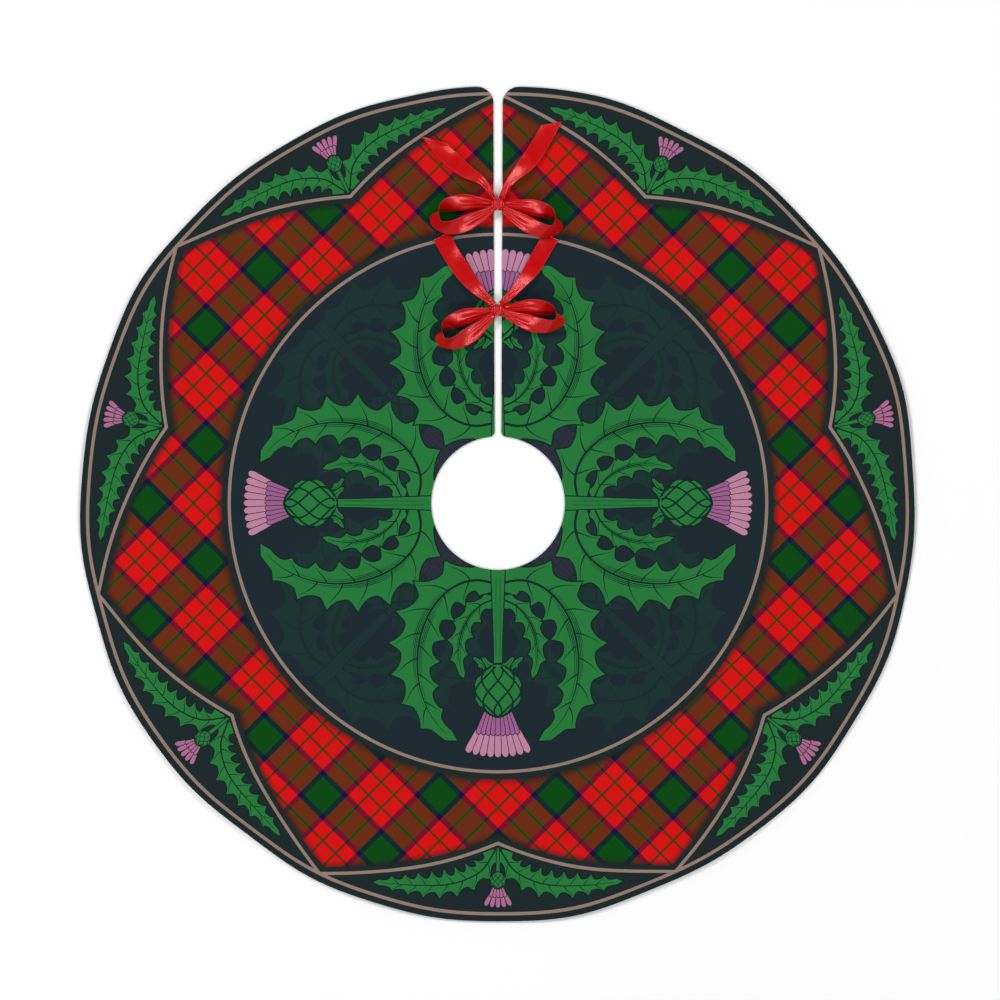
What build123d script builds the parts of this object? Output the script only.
from build123d import *
import os
from math import asin, atan2, cos, degrees, pi, radians, sin

# Round two-layer tree skirt with a slit, a trunk hole and two ribbon bows that close the slit.
# Units are mm.  The origin is the centre of the disc on the floor, +Z is up, and the slit runs along +Y.

# Driving dimensions
SKIRT_RADIUS = 457.2
HOLE_RADIUS = 73.0
SLIT_WIDTH = 9.0
OUTER_CORNER = 18.0
HOLE_CORNER = 5.0
SMALLEST_CORNER = 1.0

CLOTH_THICKNESS = 1.2
LINING_THICKNESS = 0.8
TURNED_EDGE = 1.5
SEAM_INSET = 6.0
SEAM_THREAD = 0.4

FOLD_BEARING = 38.0
FOLD_GAP = 1.0

RIBBON_WIDTH = 19.0
RIBBON_THICKNESS = 0.8
GATHERED_WIDTH = 9.0
SEWN_LENGTH = 12.0
SEWN_THICKNESS = 0.4

KNOT_LENGTH = 17.0
KNOT_BREADTH = 14.0
KNOT_HEIGHT = 11.0
KNOT_LIFT = 0.5
KNOT_SPLIT = 0.6
KNOT_CLEARANCE = 3.5

UPPER_BOW_Y = 325.0
LOWER_BOW_Y = 210.0

SKIRT_THICKNESS = CLOTH_THICKNESS + LINING_THICKNESS
KNOT_CENTRE_Z = SKIRT_THICKNESS + KNOT_LIFT + KNOT_HEIGHT / 2
KNOT_REACH = KNOT_LENGTH / 2 + KNOT_CLEARANCE
SLIT_EDGE_X = SLIT_WIDTH / 2
LOOP_STATIONS = 15


def upright_edges(solid, reach, low_y, high_y):
    """Vertical edges beside the slit, between two distances from the centre."""
    edges = []
    for edge in solid.edges().filter_by(Axis.Z):
        middle = edge.center()
        if abs(middle.X) < reach and low_y < middle.Y < high_y:
            edges.append(edge)
    return edges


def layer(inset, bottom, height):
    """Flat layer of the whole skirt, drawn in from every edge by a distance."""
    disc = Circle(SKIRT_RADIUS - inset) - Circle(HOLE_RADIUS + inset)
    slit = Pos(0, SKIRT_RADIUS) * Rectangle(SLIT_WIDTH + 2 * inset, 2 * SKIRT_RADIUS)
    solid = extrude(disc - slit, height)
    slit_reach = SLIT_WIDTH + inset
    rim_corners = upright_edges(solid, slit_reach, SKIRT_RADIUS / 2, SKIRT_RADIUS)
    solid = fillet(rim_corners, OUTER_CORNER - inset)
    hole_corners = upright_edges(solid, slit_reach, 0, 2 * HOLE_RADIUS)
    solid = fillet(hole_corners, max(HOLE_CORNER - inset, SMALLEST_CORNER))
    return Pos(0, 0, bottom) * solid


def parted_at_folds(whole):
    """Split a layer along the two radial fold lines into its main, left and right regions."""
    strip = Pos(0, SKIRT_RADIUS, 0) * Box(FOLD_GAP, 2 * SKIRT_RADIUS, 4 * SKIRT_THICKNESS)
    for bearing in (FOLD_BEARING, -FOLD_BEARING):
        whole = whole - Rot(0, 0, bearing) * strip
    regions = {"": [], "_left_flap": [], "_right_flap": []}
    for solid in whole.solids():
        middle = solid.center()
        bearing = degrees(atan2(-middle.X, middle.Y))
        if abs(bearing) > FOLD_BEARING:
            regions[""].append(solid)
        elif middle.X < 0:
            regions["_left_flap"].append(solid)
        else:
            regions["_right_flap"].append(solid)
    return {place: Compound(solids) for place, solids in regions.items()}


def ribbon(stations):
    """Ribbon through stations, each a centre, a direction across the ribbon and a width."""
    sections = []
    for index, (centre, across, width) in enumerate(stations):
        before = stations[max(index - 1, 0)][0]
        after = stations[min(index + 1, len(stations) - 1)][0]
        along = (after - before).normalized()
        plane = Plane(origin=centre, x_dir=across - along * across.dot(along), z_dir=along)
        sections.append(plane * Rectangle(width, RIBBON_THICKNESS))
    return loft(sections, ruled=True)


def ribbon_loop(bow_y, bearing, length, spread, near_rise, far_rise, lean):
    """One loop of a bow: out of the knot low down, round a leaning turn and back above."""
    outward = Vector(cos(radians(bearing)), sin(radians(bearing)), 0)
    sideways = Vector(0, 1, 0) - outward * outward.Y
    sideways = sideways.normalized()
    upward = Vector(0, 0, 1)
    first_angle = asin(KNOT_REACH / length)
    stations = []
    for index in range(LOOP_STATIONS):
        angle = first_angle + (pi - 2 * first_angle) * index / (LOOP_STATIONS - 1)
        reach = sin(angle)
        turned = reach ** 4
        side = spread / 2 * sin(2 * angle)
        rise = near_rise * reach + (far_rise - near_rise) * reach * (1 - cos(angle)) / 2
        centre = Vector(0, bow_y, KNOT_CENTRE_Z) + outward * length * reach
        centre = centre + sideways * side + upward * rise
        stand = radians(20 + 70 * turned)
        leaning = upward * cos(radians(lean)) - outward * sin(radians(lean))
        across = sideways * cos(stand) + leaning * sin(stand)
        gathered = max(0.0, 1 - reach / 0.5)
        width = RIBBON_WIDTH + (GATHERED_WIDTH - RIBBON_WIDTH) * gathered
        stations.append((centre, across, width))
    return ribbon(stations)


def ribbon_tail(points):
    """One free end of a bow through hand-placed stations: x, y, height above the cloth, tilt, width."""
    stations = []
    for index, (x, y, height, tilt, width) in enumerate(points):
        before = points[max(index - 1, 0)]
        after = points[min(index + 1, len(points) - 1)]
        along = Vector(after[0] - before[0], after[1] - before[1], 0).normalized()
        flat_across = Vector(-along.Y, along.X, 0)
        across = flat_across * cos(radians(tilt)) + Vector(0, 0, 1) * sin(radians(tilt))
        stations.append((Vector(x, y, SKIRT_THICKNESS + height), across, width))
    return ribbon(stations)


def half_knot(bow_y, side):
    """The half of a knot that one ribbon makes, side is -1 for the left ribbon and 1 for the right."""
    whole = scale(Sphere(1.0), by=(KNOT_LENGTH / 2, KNOT_BREADTH / 2, KNOT_HEIGHT / 2))
    half_box = Box(KNOT_LENGTH, 2 * KNOT_BREADTH, 2 * KNOT_HEIGHT)
    keep = Pos(side * (KNOT_LENGTH + KNOT_SPLIT) / 2, 0, 0) * half_box
    return Pos(0, bow_y, KNOT_CENTRE_Z) * (whole & keep)


def sewn_end(bow_y, side):
    """Ribbon end caught in the slit seam between the layers, then turned up to the knot."""
    inner_end = (Align.MAX, Align.CENTER, Align.MIN)
    flat = Box(SEWN_LENGTH + SLIT_EDGE_X, GATHERED_WIDTH, SEWN_THICKNESS, align=inner_end)
    turn_x = -KNOT_SPLIT
    riser_height = SKIRT_THICKNESS - LINING_THICKNESS + KNOT_LIFT
    riser = Box(2 * SEWN_THICKNESS, GATHERED_WIDTH, riser_height, align=inner_end)
    left_end = Pos(turn_x, bow_y, LINING_THICKNESS) * (flat + riser)
    return left_end if side < 0 else mirror(left_end, about=Plane.YZ)


# Flat layers of the skirt, each parted at the folds
cloth_layer = layer(0, 0, SKIRT_THICKNESS)
lining_layer = layer(TURNED_EDGE, 0, LINING_THICKNESS)
seam_bottom = LINING_THICKNESS - SEAM_THREAD
seam_inside = layer(SEAM_INSET + SEAM_THREAD, seam_bottom, SEAM_THREAD)
seam_layer = layer(SEAM_INSET, seam_bottom, SEAM_THREAD) - seam_inside

parts = {}
for bow, bow_y in {"upper": UPPER_BOW_Y, "lower": LOWER_BOW_Y}.items():
    for side, sign in {"left": -1, "right": 1}.items():
        end = sewn_end(bow_y, sign)
        parts[f"{bow}_{side}_sewn_end"] = end
        parts[f"{bow}_{side}_knot_half"] = half_knot(bow_y, sign) - end
        cloth_layer = cloth_layer - end

for place, solid in parted_at_folds(cloth_layer - lining_layer).items():
    parts[f"printed_cloth{place}"] = solid
for place, solid in parted_at_folds(lining_layer - seam_layer).items():
    parts[f"lining{place}"] = solid
for place, solid in parted_at_folds(seam_layer).items():
    parts[f"edge_seam{place}"] = solid

# Loops: bow, bearing, length, spread of the two runs, rises of the low and the high run, lean
parts["upper_left_loop"] = ribbon_loop(UPPER_BOW_Y, 194, 70, 25, 4.0, 10.0, 35)
parts["upper_right_loop"] = ribbon_loop(UPPER_BOW_Y, -20, 70, 22, 4.0, 10.0, 35)
parts["lower_left_loop"] = ribbon_loop(LOWER_BOW_Y, 207, 70, 22, 4.0, 10.0, 35)
parts["lower_right_loop"] = ribbon_loop(LOWER_BOW_Y, -9, 69, 20, 4.0, 10.0, 35)

# Tails: x, y, height above the cloth, tilt of the ribbon and its width at each station
parts["upper_left_tail"] = ribbon_tail([
    (-7, 338, 4.5, 10, 7.5),
    (-19, 350, 4.0, 20, 10.5),
    (-37, 363, 3.0, 12, 15),
    (-57, 380, 2.5, 5, 18),
    (-75, 397, 2.0, 3, 12),
])
parts["upper_right_tail"] = ribbon_tail([
    (6, 338, 4.5, -10, 7.5),
    (14, 350, 4.0, -15, 10.5),
    (28, 366, 3.0, -10, 16),
    (43, 386, 2.5, -5, 19),
    (54, 412, 2.0, -3, 19),
])
parts["lower_left_tail"] = ribbon_tail([
    (-8, 219, 4.5, 10, 8),
    (-22, 232, 3.5, 10, 14),
    (-38, 252, 2.0, 4, 19),
    (-50, 270, 1.5, 0, 19),
    (-62, 291, 1.5, 0, 19),
])
parts["lower_right_tail"] = ribbon_tail([
    (8, 220, 4.5, -10, 8),
    (20, 233, 3.5, -15, 11),
    (35, 252, 2.0, -4, 17),
    (47, 272, 1.5, 0, 18),
    (58, 291, 1.5, 0, 18),
])

os.makedirs("parts", exist_ok=True)
for name, shape in parts.items():
    export_step(shape, f"parts/{name}.step")
